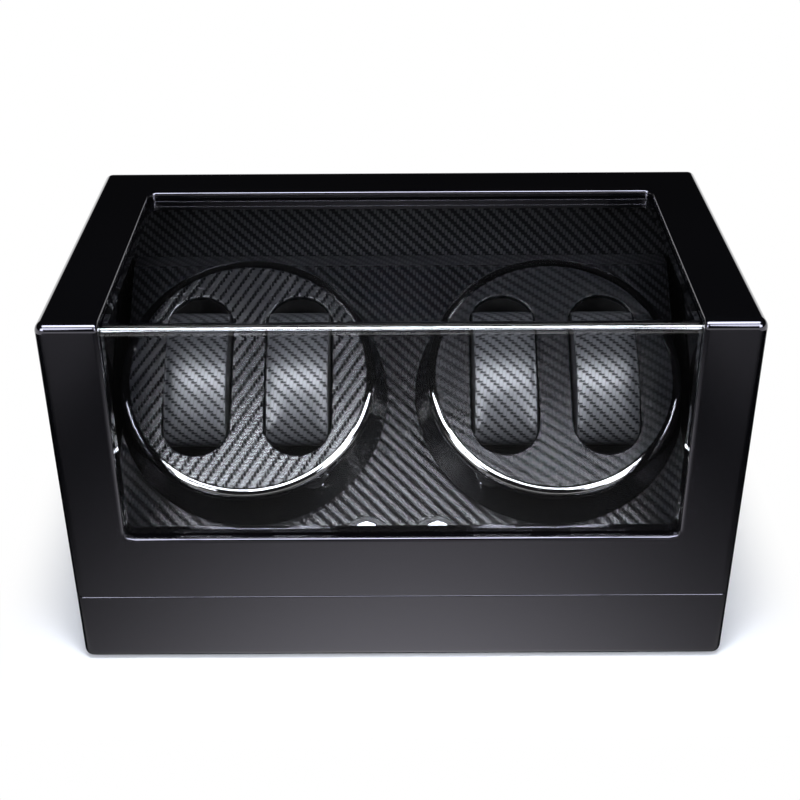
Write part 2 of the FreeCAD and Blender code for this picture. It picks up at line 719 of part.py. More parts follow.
# Turntable: a moulded drum that flares to its foot under a rounded lip, a covered face plate set into it
# and a tub under each slot, on a steel spindle that runs in a bush and carries the driven pulley
def make_turntable(name, side):
    def on_axis(piece):
        return set_on_deck(piece, f"{side} * turntable_spacing / 2", "turntable_rise")

    on_axis(turned(
        f"turntable_drum_{name}",
        ("spindle_radius + slip_fit", "turntable_gap"),
        ("drum_radius", "turntable_gap"),
        ("neck_radius", "lip_low"),
        ("rim_radius - lip_round", "lip_low"),
        ("rim_radius", "lip_low + lip_round", "left", "lip_round"),
        ("rim_radius", "rim_top - rim_round"),
        ("rim_radius - rim_round", "rim_top", "left", "rim_round"),
        ("rim_inner_radius", "rim_top"),
        ("rim_inner_radius", "seat_height"),
        ("rim_inner_radius - drum_seat", "seat_height"),
        ("rim_inner_radius - drum_seat", "floor_height"),
        ("hub_radius", "floor_height"),
        ("hub_radius", "floor_height + hub_height"),
        ("spindle_radius + slip_fit", "floor_height + hub_height")))

    plate = on_axis(new_body(f"face_plate_{name}"))
    sketch = new_sketch(plate, "XY_Plane", "seat_height")
    circle(sketch, "0", "0", "rim_inner_radius - plate_clearance")
    for slot in (-1, 1):
        obround(sketch, f"{slot} * slot_spacing / 2", "slot_width / 2", "slot_reach")
    pad(plate, sketch, "plate_thickness")
    fillet(plate, "plate_round", lambda edge: level(edge, "Z", "face_height"))

    for part, slot in (("outer", side), ("inner", -side)):
        well = new_body(f"pillow_well_{name}_{part}")
        set_on_deck(well, f"{side} * turntable_spacing / 2 + {slot} * slot_spacing / 2", "turntable_rise")
        outside = new_sketch(well, "XY_Plane", "floor_height")
        obround(outside, "0", "slot_width / 2 + well_wall", "slot_reach")
        pad(well, outside, "seat_height - floor_height")
        inside = new_sketch(well, "XY_Plane", "seat_height")
        obround(inside, "0", "slot_width / 2", "slot_reach")
        pocket(well, inside, "seat_height - floor_height - well_wall")

    shoulder = "floor_height + hub_height"
    groove = "spindle_radius - clip_groove"
    clip_top = "hub_end - end_float"
    clip_low = "hub_end - end_float - clip_thickness"
    on_axis(turned(
        f"spindle_{name}",
        ("0", f"{clip_low} - clip_thickness - spindle_radius / 2"),
        ("spindle_radius", f"{clip_low} - clip_thickness - spindle_radius / 2"),
        ("spindle_radius", clip_low),
        (groove, clip_low),
        (groove, clip_top),
        ("spindle_radius", clip_top),
        ("spindle_radius", shoulder),
        ("spindle_head_radius", shoulder),
        ("spindle_head_radius", f"{shoulder} + spindle_head"),
        ("0", f"{shoulder} + spindle_head")))
    on_axis(turned(
        f"spindle_clip_{name}",
        (f"{groove} + slip_fit", f"{clip_low} + slip_fit"),
        ("clip_radius", f"{clip_low} + slip_fit"),
        ("clip_radius", f"{clip_top} - slip_fit"),
        (f"{groove} + slip_fit", f"{clip_top} - slip_fit")))
    on_axis(turned(
        f"spindle_bush_{name}",
        ("spindle_radius + running_fit", "bush_end"),
        ("bush_radius", "bush_end"),
        ("bush_radius", "0"),
        ("bush_flange_radius", "0"),
        ("bush_flange_radius", "bush_flange"),
        ("spindle_radius + running_fit", "bush_flange")))
    rim = "drive_pitch_radius + pulley_flange"
    pulley = on_axis(turned(
        f"drive_pulley_{name}",
        ("spindle_radius + slip_fit", "hub_end"),
        ("pulley_hub_radius", "hub_end"),
        ("pulley_hub_radius", "belt_level - pulley_width / 2"),
        (rim, "belt_level - pulley_width / 2"),
        (rim, "belt_level + pulley_width / 2"),
        ("pulley_hub_radius", "belt_level + pulley_width / 2"),
        ("pulley_hub_radius", "hub_top"),
        ("spindle_radius + slip_fit", "hub_top")))
    groove_for_belt(pulley, "drive_pitch_radius")


def groove_for_belt(pulley, pitch_radius):
    """A round groove that clears the belt."""
    section = new_sketch(pulley, "XZ_Plane")
    circle(section, pitch_radius, "belt_level", "belt_radius + belt_clearance")
    revolve(pulley, "Groove", section)


# Drive: a gear motor hangs in a bent bracket under the deck, and a round belt joins its small pulley
# to the pulley on the spindle. The right drive is the left one turned by half a turn.
def make_drive(name, side):
    def on_axis(piece):
        return set_on_deck(piece, f"{side} * turntable_spacing / 2", "turntable_rise", half_turn=side > 0)

    def on_motor(piece):
        return set_on_deck(piece, f"{side} * (turntable_spacing / 2 - belt_span)", "turntable_rise")

    bracket = on_axis(new_body(f"motor_bracket_{name}"))
    plate_end = "bracket_length / 2"
    foot_end = "bracket_length / 2 + bracket_foot"
    leg = "bracket_length / 2 - bracket_thickness"
    low = "bracket_level - bracket_thickness"
    section = new_sketch(bracket, "YZ_Plane", "belt_span")
    outline(section,
            (f"-({plate_end})", low),
            (plate_end, low),
            (plate_end, "-deck_thickness - bracket_thickness"),
            (foot_end, "-deck_thickness - bracket_thickness"),
            (foot_end, "-deck_thickness"),
            (leg, "-deck_thickness"),
            (leg, "bracket_level"),
            (f"-({leg})", "bracket_level"),
            (f"-({leg})", "-deck_thickness"),
            (f"-({foot_end})", "-deck_thickness"),
            (f"-({foot_end})", "-deck_thickness - bracket_thickness"),
            (f"-({plate_end})", "-deck_thickness - bracket_thickness"))
    pad(bracket, section, "bracket_width", both_ways=True)
    hole = new_sketch(bracket, "XY_Plane", "bracket_level")
    pocket(bracket, circle(hole, "belt_span", "0", "motor_boss_radius + glue_line"), "bracket_thickness")
    holes = new_sketch(bracket, "XY_Plane", "-deck_thickness")
    for x, y in bracket_screw_places():
        circle(holes, x, y, "screw_radius + screw_clearance")
    pocket(bracket, holes, "bracket_thickness")

    can = "motor_face - gearbox_length"
    bore = "motor_shaft_radius + running_fit"
    on_motor(turned(
        f"gear_motor_{name}",
        ("0", f"{can} - motor_length"),
        ("motor_radius", f"{can} - motor_length"),
        ("motor_radius", can),
        ("gearbox_radius", can),
        ("gearbox_radius", "motor_face"),
        ("motor_boss_radius", "motor_face"),
        ("motor_boss_radius", "motor_face + motor_boss"),
        (bore, "motor_face + motor_boss"),
        (bore, "motor_face - motor_shaft_depth - end_float"),
        ("0", "motor_face - motor_shaft_depth - end_float")))
    rim = "motor_pitch_radius + pulley_flange"
    pulley = on_motor(turned(
        f"motor_pulley_{name}",
        ("0", "motor_face - motor_shaft_depth"),
        ("motor_shaft_radius", "motor_face - motor_shaft_depth"),
        ("motor_shaft_radius", "belt_level - pulley_width / 2"),
        (rim, "belt_level - pulley_width / 2"),
        (rim, "belt_level + pulley_width / 2"),
        ("0", "belt_level + pulley_width / 2")))
    groove_for_belt(pulley, "motor_pitch_radius")

    belt = on_axis(new_body(f"drive_belt_{name}"))
    lean = "asin((drive_pitch_radius - motor_pitch_radius) / belt_span)"
    big, small = "drive_pitch_radius", "motor_pitch_radius"
    path = new_sketch(belt, "XY_Plane", "belt_level")
    outline(path,
            (f"-{big}", "0", "left", big),
            (f"{big} * sin({lean})", f"-{big} * cos({lean})", "left", big),
            (f"belt_span + {small} * sin({lean})", f"-{small} * cos({lean})"),
            (f"belt_span + {small}", "0", "left", small),
            (f"belt_span + {small} * sin({lean})", f"{small} * cos({lean})", "left", small),
            (f"{big} * sin({lean})", f"{big} * cos({lean})"))
    section = circle(new_sketch(belt, "XZ_Plane"), f"-{big}", "belt_level", "belt_radius")
    sweep = belt.newObject("PartDesign::AdditivePipe", f"{belt.Label}_sweep")
    sweep.Profile = section
    sweep.Spine = path


def bracket_screw_places():
    """Two screws through each foot of a bracket, from the spindle's axis towards the motor."""
    reach = "(bracket_length / 2 + bracket_foot / 2)"
    places_along = [f"belt_span + {step} * bracket_width / 3" for step in (-1, 1)]
    return [(x, f"{end} * {reach}") for x in places_along for end in (-1, 1)]


def make_bracket_screws():
    screws = []
    for name, side in SIDES:
        for number, (x, y) in enumerate(bracket_screw_places()):
            across = f"{side} * (turntable_spacing / 2 - ({x}))"
            rise = f"turntable_rise + {y}"
            foot = "-deck_thickness - bracket_thickness"
            head = rod(f"bracket_screw_head_{name}_{number}", "screw_head_radius", "pan_head_height")
            set_on_deck(head, across, rise, f"{foot} - pan_head_height")
            shank = rod(f"bracket_screw_shank_{name}_{number}", "screw_radius", "bracket_screw_length")
            set_on_deck(shank, across, rise, foot)
            screws.append(joined(f"bracket_screw_{name}_{number}", [head, shank]))
    group("bracket_screws", screws)


# Control board: a circuit board on four standoffs, with two driver chips and a terminal strip
def make_control_board():
    level_of_board = "plate_top + standoff_height"
    body = new_body("control_board")
    rear_edge = "circuit_middle + circuit_depth / 2"
    front_edge = "circuit_middle - circuit_depth / 2"
    sketch = new_sketch(body, "XY_Plane", level_of_board)
    rectangle(sketch, "-circuit_width / 2", front_edge, "circuit_width / 2", rear_edge)
    pad(body, sketch, "circuit_thickness")
    chips = new_sketch(body, "XY_Plane", level_of_board)
    for _, side in SIDES:
        middle = f"{side} * circuit_width / 4"
        rectangle(chips, f"{middle} - chip_width / 2", "circuit_middle - chip_width / 2",
                  f"{middle} + chip_width / 2", "circuit_middle + chip_width / 2")
    pad(body, chips, "circuit_thickness + chip_height")
    strip = new_sketch(body, "XY_Plane", level_of_board)
    rectangle(strip, "-terminal_width / 2", f"{rear_edge} - terminal_depth",
              "terminal_width / 2", rear_edge)
    pad(body, strip, "circuit_thickness + terminal_height")
    standoffs = []
    rows = (("front", f"{front_edge} + standoff_inset"), ("rear", f"{rear_edge} - standoff_inset"))
    for name, side in SIDES:
        for end, y in rows:
            post = rod(f"standoff_{name}_{end}", "standoff_radius", "standoff_height")
            standoffs.append(set_at(post, f"{side} * (circuit_width / 2 - standoff_inset)", y, "plate_top"))
    group("board_standoffs", standoffs)


# Selector: a switch under the deck, a chrome bezel on it and a fluted chrome knob with its stem
def make_selector(name, side):
    def on_axis(piece):
        return set_on_deck(piece, f"{side} * knob_spacing / 2", "knob_rise")

    switch = on_axis(new_body(f"mode_switch_{name}"))
    half = "switch_width / 2"
    housing = new_sketch(switch, "XY_Plane", "-deck_thickness - switch_height")
    pad(switch, rectangle(housing, f"-{half}", f"-{half}", half, half), "switch_height")
    neck = new_sketch(switch, "XY_Plane", "-deck_thickness - switch_height")
    circle(neck, "0", "0", "switch_neck_radius")
    pad(switch, neck, "deck_thickness + switch_height + bezel_thickness")
    bore = new_sketch(switch, "XY_Plane", "bezel_thickness")
    circle(bore, "0", "0", "stem_radius + running_fit")
    pocket(switch, bore, "bezel_thickness + stem_depth + end_float")

    ring_top = "bezel_thickness + bezel_rim_height"
    on_axis(turned(
        f"knob_bezel_{name}",
        ("switch_neck_radius + glue_line", "0"),
        ("bezel_radius", "0"),
        ("bezel_radius", "bezel_thickness"),
        ("bezel_radius - bezel_rim / 3", ring_top),
        ("bezel_radius - 2 * bezel_rim / 3", ring_top),
        ("bezel_radius - bezel_rim", "bezel_thickness"),
        ("switch_neck_radius + glue_line", "bezel_thickness")))

    low = "bezel_thickness + knob_lift"
    top = f"{low} + knob_height"
    knob = on_axis(turned(
        f"mode_knob_{name}",
        ("0", "-stem_depth"),
        ("stem_radius", "-stem_depth"),
        ("stem_radius", low),
        ("knob_radius", low),
        ("knob_top_radius", f"{top} - knob_chamfer"),
        ("knob_top_radius - knob_chamfer", top),
        ("0", top)))
    flute = new_sketch(knob, "XY_Plane", top)
    circle(flute, "knob_radius + flute_radius / 3", "0", "flute_radius")
    cut = pocket(knob, flute, "knob_height")
    flutes = knob.newObject("PartDesign::PolarPattern", f"{knob.Label}_flutes")
    flutes.Originals = [cut]
    flutes.Axis = (flute, ["N_Axis"])
    flutes.Angle = FULL_TURN
    flutes.setExpression("Occurrences", bound("knob_flutes"))
    knob.Tip = flutes
    pointer = new_sketch(knob, "XY_Plane", top)
    rectangle(pointer, "-pointer_width / 2", "knob_top_radius / 3", "pointer_width / 2", "knob_radius")
    pocket(knob, pointer, "pointer_depth")


# Watch pillow: a padded oval that fills most of its well, crowned across and drawn in at its sides
def make_pillow(name, side, part, slot):
    half_width = value("pillow_width / 2")
    stations = (-1, -0.96, -0.85, -0.55, 0, 0.55, 0.85, 0.96, 1)
    sections = []
    for station in stations:
        drawn_in = value("pillow_crown") * station ** 2 + value("pillow_edge") * abs(station) ** 12
        sections.append(oval(station * half_width,
                             value("pillow_length / 2") - drawn_in,
                             value("pillow_height / 2") - drawn_in,
                             value("pillow_end_radius") - drawn_in))
    pillow = keep(doc.addObject("Part::Feature", f"watch_pillow_{name}_{part}"))
    pillow.Shape = Part.makeLoft(sections, True, False)
    x = f"{side} * turntable_spacing / 2 + {slot} * slot_spacing / 2"
    set_on_deck(pillow, x, "turntable_rise", "pillow_middle")


def oval(x, half_length, half_height, end_radius):
    """An oval of four arcs in an upright plane: two flat ones and two round ends that meet them."""
    flat_centre = half_length - end_radius
    flat_radius = (flat_centre ** 2 + half_height ** 2 - end_radius ** 2) / (2 * (half_height - end_radius))
    toward = Vector(0, flat_centre, flat_radius - half_height).normalize() * end_radius
    joint_y, joint_z = flat_centre + toward.y, toward.z

    def arc(start, middle, end):
        return Part.Arc(Vector(x, *start), Vector(x, *middle), Vector(x, *end)).toShape()

    return Part.Wire([
        arc((-joint_y, joint_z), (0, half_height), (joint_y, joint_z)),
        arc((joint_y, joint_z), (half_length, 0), (joint_y, -joint_z)),
        arc((joint_y, -joint_z), (0, -half_height), (-joint_y, -joint_z)),
        arc((-joint_y, -joint_z), (-half_length, 0), (-joint_y, joint_z))])


# Power inlet: a round socket through the base's rear wall, held by a hexagonal nut inside
def make_power_inlet():
    turn = "rotation(vector(1; 0; 0); -90)"
    inlet = turned(
        "power_inlet",
        ("0", "-wall - inlet_tail"),
        ("inlet_radius", "-wall - inlet_tail"),
        ("inlet_radius", "0"),
        ("inlet_flange_radius", "0"),
        ("inlet_flange_radius", "inlet_flange"),
        ("inlet_bore_radius", "inlet_flange"),
        ("inlet_bore_radius", "inlet_flange - inlet_bore_depth"),
        ("inlet_pin_radius", "inlet_flange - inlet_bore_depth"),
        ("inlet_pin_radius", "-inlet_flange / 2"),
        ("0", "-inlet_flange / 2"))
    set_at(inlet, "inlet_offset", "rear", "inlet_z", turn)
    nut = new_body("inlet_nut")
    sketch = new_sketch(nut, "XY_Plane", "-wall - inlet_nut")
    corner = "inlet_nut_size / sqrt(3)"
    turns = [f"{step} * 60" for step in range(6)]
    outline(sketch, *[(f"{corner} * cos({turn})", f"{corner} * sin({turn})") for turn in turns])
    circle(sketch, "0", "0", "inlet_radius + slip_fit")
    pad(nut, sketch, "inlet_nut")
    set_at(nut, "inlet_offset", "rear", "inlet_z", turn)


# Hinge: two leaves let into the rear walls, five knuckles in turn and a pin through them
def make_hinge(name, side):
    middle = f"{side} * hinge_spacing / 2"
    start = f"({middle} - hinge_length / 2)"
    pin = keep(rod(f"hinge_pin_{name}", "hinge_pin_radius", "hinge_length"))
    set_at(pin, start, "hinge_y", "hinge_z", ALONG_X)
    knuckle_pitch = "(hinge_length / 5)"
    leaves = (("base", "seam - leaf_thickness", (0, 2, 4), "slip_fit"),
              ("lid", "lid_bottom", (1, 3), "running_fit"))
    for leaf, low, turns, fit in leaves:
        label = f"hinge_{leaf}_leaf_{name}"
        sheet_depth = "leaf_edge - (rear - leaf_width)"
        pieces = [set_at(block(f"{label}_sheet", "hinge_length", sheet_depth, "leaf_thickness"),
                         start, "rear - leaf_width", low)]
        for turn in turns:
            first = f"{start} + {turn} * {knuckle_pitch} + knuckle_gap / 2"
            length = f"{knuckle_pitch} - knuckle_gap"
            tab = block(f"{label}_tab_{turn}", length, "hinge_y - leaf_edge", "leaf_thickness")
            pieces.append(set_at(tab, first, "leaf_edge", low))
            knuckle = rod(f"{label}_knuckle_{turn}", "knuckle_radius", length)
            pieces.append(set_at(knuckle, first, "hinge_y", "hinge_z", ALONG_X))
        bore = rod(f"{label}_bore", f"hinge_pin_radius + {fit}", "hinge_length")
        cuts = [set_at(bore, start, "hinge_y", "hinge_z", ALONG_X)]
        for step in (-1, 0, 1):
            hole = screw_head(f"{label}_hole_{step}", leaf, "screw_clearance")
            cuts.append(set_at(hole, f"{middle} + {step} * screw_pitch", "rear - leaf_width / 2", low))
        piece = keep(doc.addObject("Part::Cut", label))
        piece.Base = joined(f"{label}_solid", pieces)
        piece.Tool = joined(f"{label}_cuts", cuts)


def screw_head(label, leaf, spare):
    """A countersunk head that opens towards the seam: up in the base's leaf, down in the lid's."""
    narrow, wide = f"screw_radius + {spare}", f"screw_head_radius + {spare}"
    radii = (narrow, wide) if leaf == "base" else (wide, narrow)
    return cone(label, *radii, "leaf_thickness")


def make_hinge_screws():
    for leaf, low, shank_low in (("base", "seam - leaf_thickness", "seam - leaf_thickness - screw_length"),
                                 ("lid", "lid_bottom", "lid_bottom + leaf_thickness")):
        screws = []
        for name, side in SIDES:
            for step in (-1, 0, 1):
                x = f"{side} * hinge_spacing / 2 + {step} * screw_pitch"
                label = f"hinge_{leaf}_screw_{name}_{step}"
                head = set_at(screw_head(f"{label}_head", leaf, "0"), x, "rear - leaf_width / 2", low)
                shank = rod(f"{label}_shank", "screw_radius", "screw_length - screw_clearance")
                lift = "screw_clearance" if leaf == "base" else "0"
                set_at(shank, x, "rear - leaf_width / 2", f"{shank_low} + {lift}")
                screws.append(joined(label, [head, shank]))
        group(f"hinge_{leaf}_screws", screws)


make_base_frame()
make_bottom()
make_lid_shell()
make_window_pane()
make_rear_lining()
make_deck()
for side_name, side_sign in SIDES:
    make_turntable(side_name, side_sign)
    make_drive(side_name, side_sign)
    make_selector(side_name, side_sign)
    make_pillow(side_name, side_sign, "outer", side_sign)
    make_pillow(side_name, side_sign, "inner", -side_sign)
    make_hinge(side_name, side_sign)
make_bracket_screws()
make_control_board()
make_power_inlet()
make_hinge_screws()
doc.recompute()

for thing in doc.Objects:
    if "Invalid" in thing.State or "Error" in thing.State:
        raise RuntimeError(f"{thing.Label} failed: {thing.State}")
for node in nodes:
    if node.Shape.isNull() or not node.Shape.isValid() or not node.Shape.Solids:
        raise RuntimeError(f"{node.Label} has no sound solid")

os.makedirs("parts", exist_ok=True)
for node in nodes:
    node.Shape.exportStep(f"parts/{node.Label}.step")
print(f"{len(nodes)} sub-parts, {sum(len(node.Shape.Solids) for node in nodes)} solids")
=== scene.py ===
import math

import bmesh
import bpy
from mathutils import Euler, Matrix, Vector, noise


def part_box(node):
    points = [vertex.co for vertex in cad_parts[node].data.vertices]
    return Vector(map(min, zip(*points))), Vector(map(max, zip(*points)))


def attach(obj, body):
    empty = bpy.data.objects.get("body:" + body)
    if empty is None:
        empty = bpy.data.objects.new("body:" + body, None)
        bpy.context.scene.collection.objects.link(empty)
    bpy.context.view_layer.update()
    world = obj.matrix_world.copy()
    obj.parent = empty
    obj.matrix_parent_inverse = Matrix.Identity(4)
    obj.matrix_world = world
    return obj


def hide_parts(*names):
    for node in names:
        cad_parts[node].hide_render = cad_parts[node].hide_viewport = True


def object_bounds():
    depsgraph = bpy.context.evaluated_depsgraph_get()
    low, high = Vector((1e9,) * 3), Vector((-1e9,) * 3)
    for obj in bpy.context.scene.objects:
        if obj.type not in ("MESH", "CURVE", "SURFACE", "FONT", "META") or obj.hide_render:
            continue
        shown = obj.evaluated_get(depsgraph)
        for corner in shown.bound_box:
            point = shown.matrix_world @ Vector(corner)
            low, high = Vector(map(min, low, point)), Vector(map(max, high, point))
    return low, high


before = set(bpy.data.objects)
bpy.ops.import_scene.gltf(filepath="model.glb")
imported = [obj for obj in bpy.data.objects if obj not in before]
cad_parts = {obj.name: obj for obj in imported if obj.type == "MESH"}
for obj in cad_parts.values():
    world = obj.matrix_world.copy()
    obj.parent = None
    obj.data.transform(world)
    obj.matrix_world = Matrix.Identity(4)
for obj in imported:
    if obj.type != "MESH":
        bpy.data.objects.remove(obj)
cad_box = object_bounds()


# Base frame and lid shell: two fibreboard boxes with mitred corners, sprayed with black polyester
# lacquer and buffed to a mirror. The buffing leaves a faint waviness and a few hazy patches.
LACQUER_BLACK = (0.0012, 0.0012, 0.0015, 1)
LACQUER_DEEP = (0.0026, 0.0025, 0.0030, 1)
LACQUER_VIOLET = (0.74, 0.67, 1.0, 1)
MM = 0.001


def new_finish(name):
    """A new material, its node tree and its Principled shader."""
    made = bpy.data.materials.new(name)
    made.use_nodes = True
    return made, made.node_tree, made.node_tree.nodes["Principled BSDF"]


def put(tree, kind, sockets=None, **settings):
    """A node with its settings, and each named socket set to a value or joined to another socket."""
    made = tree.nodes.new(kind)
    for name, setting in settings.items():
        setattr(made, name, setting)
    for name, given in (sockets or {}).items():
        if isinstance(given, bpy.types.NodeSocket):
            tree.links.new(given, made.inputs[name])
        else:
            made.inputs[name].default_value = given
    return made


def calc(tree, operation, *numbers):
    """The result of one sum on numbers or sockets."""
    return put(tree, "ShaderNodeMath", dict(enumerate(numbers)), operation=operation).outputs[0]


def spread(tree, given, low, high, to_low, to_high, kind="LINEAR"):
    """A socket's range laid over another range and held inside it."""
    ends = {"Value": given, "From Min": low, "From Max": high, "To Min": to_low, "To Max": to_high}
    return put(tree, "ShaderNodeMapRange", ends, interpolation_type=kind).outputs["Result"]


def grain(tree, scale, detail=2.0, stretch=(1, 1, 1), roughness=0.5):
    """Noise fixed to the piece, by default even in all directions."""
    place = put(tree, "ShaderNodeTexCoord").outputs["Object"]
    laid = put(tree, "ShaderNodeMapping", {"Vector": place, "Scale": stretch}).outputs["Vector"]
    sockets = {"Vector": laid, "Scale": scale, "Detail": detail, "Roughness": roughness}
    return put(tree, "ShaderNodeTexNoise", sockets).outputs["Fac"]


def two_tone(tree, shader, amount, first, second):
    """Colour the shader between two tones."""
    ramp = put(tree, "ShaderNodeValToRGB", {"Fac": amount})
    ramp.color_ramp.elements[0].color = first
    ramp.color_ramp.elements[1].color = second
    tree.links.new(ramp.outputs["Color"], shader.inputs["Base Color"])


def emboss(tree, shader, height, strength, depth):
    """Raise the surface by a height, and give the normal that this makes."""
    bump = put(tree, "ShaderNodeBump", {"Height": height, "Strength": strength, "Distance": depth})
    tree.links.new(bump.outputs["Normal"], shader.inputs["Normal"])
    return bump.outputs["Normal"]


def settle(shader, **levels):
    """Set plain levels on the shader, with underscores for the spaces in a socket's name."""
    for name, level in levels.items():
        shader.inputs[name.replace("_", " ")].default_value = level


def dress(finish, *names):
    """Give a finish to CAD pieces."""
    for name in names:
        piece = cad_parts[name]
        for slot in piece.material_slots:
            slot.material = finish


def piano_lacquer():
    made, tree, shader = new_finish("piano_lacquer")
    two_tone(tree, shader, grain(tree, 7), LACQUER_BLACK, LACQUER_DEEP)
    haze = spread(tree, grain(tree, 18, 4), 0.3, 0.75, 0.03, 0.075)
    tree.links.new(haze, shader.inputs["Roughness"])
    waves = calc(tree, "MULTIPLY_ADD", grain(tree, 260, 1), 0.03, grain(tree, 22, 1))
    ripple = emboss(tree, shader, waves, 0.06, 1.0 * MM)
    tree.links.new(ripple, shader.inputs["Coat Normal"])
    settle(shader, IOR=1.5, Specular_Tint=LACQUER_VIOLET)
    settle(shader, Coat_Weight=1.0, Coat_Roughness=0.02, Coat_IOR=1.6)
    return made


dress(piano_lacquer(), "base_frame", "lid_shell")


# Bottom plate and feet: oil-tempered hardboard let into the base's rebate, held by six pan-head screws,
# with four moulded rubber feet stuck to its corners.
HARDBOARD_DARK = (0.030, 0.018, 0.010, 1)
HARDBOARD_LIGHT = (0.085, 0.052, 0.028, 1)
RUBBER_DARK = (0.010, 0.010, 0.010, 1)
RUBBER_DUSTY = (0.028, 0.028, 0.028, 1)
ZINC_TONES = ((0.42, 0.42, 0.40, 1), (0.62, 0.62, 0.60, 1))


def hardboard():
    made, tree, shader = new_finish("tempered_hardboard")
    fibres = grain(tree, 420, 6, (1, 0.35, 1), 0.7)
    two_tone(tree, shader, fibres, HARDBOARD_DARK, HARDBOARD_LIGHT)
    emboss(tree, shader, fibres, 0.35, 0.2 * MM)
    tree.links.new(spread(tree, fibres, 0.2, 0.8, 0.5, 0.75), shader.inputs["Roughness"])
    return made


def rubber(name):
    """Moulded rubber with a little dust on it."""
    made, tree, shader = new_finish(name)
    dust = grain(tree, 900, 5, roughness=0.75)
    two_tone(tree, shader, dust, RUBBER_DARK, RUBBER_DUSTY)
    emboss(tree, shader, dust, 0.25, 0.1 * MM)
    tree.links.new(spread(tree, dust, 0.2, 0.8, 0.6, 0.85), shader.inputs["Roughness"])
    return made


def worked_metal(name, tones, roughness, scale, stretch=(1, 1, 1)):
    """Bare or plated metal with the fine lines that turning, drawing or brushing leaves."""
    made, tree, shader = new_finish(name)
    lines = grain(tree, scale, 4, stretch, 0.6)
    two_tone(tree, shader, lines, *tones)
    tree.links.new(spread(tree, lines, 0.25, 0.75, *roughness), shader.inputs["Roughness"])
    emboss(tree, shader, lines, 0.08, 0.05 * MM)
    settle(shader, Metallic=1.0)
    return made


dress(hardboard(), "bottom_plate")
dress(rubber("moulded_rubber"), "rubber_feet")
zinc = worked_metal("bright_zinc", ZINC_TONES, (0.22, 0.40), 900)
dress(zinc, "bottom_plate_screws", "bracket_screws")


# Deck and linings: boards covered in black leatherette that is embossed with a two-by-two twill of flat
# tows, each 1.7 mm wide. The leatherette is glued on and turned over the edges.
TOW = 1.69 * MM
DECK_TILT = math.radians(37)
TOW_OVER = (0.009, 0.0092, 0.0105, 1)
TOW_UNDER = (0.0022, 0.0023, 0.0028, 1)
TWILL_REPEAT = 4
UPPER_FLOAT = 2.4
LOWER_START = 2
LOWER_FLOAT = 2
TOW_BOW = 0.6
TOW_FLATNESS = 3
THREADS = 5
THREAD_DEPTH = 0.008
TOW_BACK = (0.10, 0.65)
EMBOSS_DEPTH = 0.020 * MM


def twill_pattern():
    """A node group that turns a place in tow widths into the twill's height and which tow is on top."""
    group = bpy.data.node_groups.new("twill_emboss", "ShaderNodeTree")
    group.interface.new_socket("Place", in_out="INPUT", socket_type="NodeSocketVector")
    group.interface.new_socket("Height", in_out="OUTPUT", socket_type="NodeSocketFloat")
    group.interface.new_socket("Over", in_out="OUTPUT", socket_type="NodeSocketFloat")
    given = put(group, "NodeGroupInput")
    place = put(group, "ShaderNodeSeparateXYZ", {0: given.outputs["Place"]}).outputs
    column, row = (calc(group, "FLOOR", place[axis]) for axis in (0, 1))
    along_warp = calc(group, "FLOORED_MODULO", calc(group, "ADD", place[1], column), TWILL_REPEAT)
    along_weft = calc(group, "FLOORED_MODULO", calc(group, "ADD", place[0], row), TWILL_REPEAT)
    over = calc(group, "LESS_THAN", along_warp, UPPER_FLOAT)
    heights = []
    tows = ((along_warp, place[0], 0, UPPER_FLOAT), (along_weft, place[1], LOWER_START, LOWER_FLOAT))
    for along, across, start, length in tows:
        share = calc(group, "DIVIDE", calc(group, "SUBTRACT", along, start), length)
        bow = calc(group, "MAXIMUM", calc(group, "SINE", calc(group, "MULTIPLY", share, math.pi)), 0)
        from_middle = calc(group, "MULTIPLY_ADD", calc(group, "FRACT", across), 2, -1)
        drop = calc(group, "POWER", calc(group, "ABSOLUTE", from_middle), TOW_FLATNESS)
        round_back = calc(group, "SUBTRACT", 1, drop)
        tow = calc(group, "MULTIPLY", calc(group, "POWER", bow, TOW_BOW), round_back)
        thread = calc(group, "COSINE", calc(group, "MULTIPLY", from_middle, math.pi * THREADS))
        heights.append(calc(group, "MULTIPLY_ADD", thread, THREAD_DEPTH, tow))
    warp_share = calc(group, "MULTIPLY", heights[0], over)
    weft_share = calc(group, "MULTIPLY", heights[1], calc(group, "SUBTRACT", 1, over))
    height = calc(group, "ADD", warp_share, weft_share)
    put(group, "NodeGroupOutput", {"Height": height, "Over": over})
    return group


TWILL = twill_pattern()


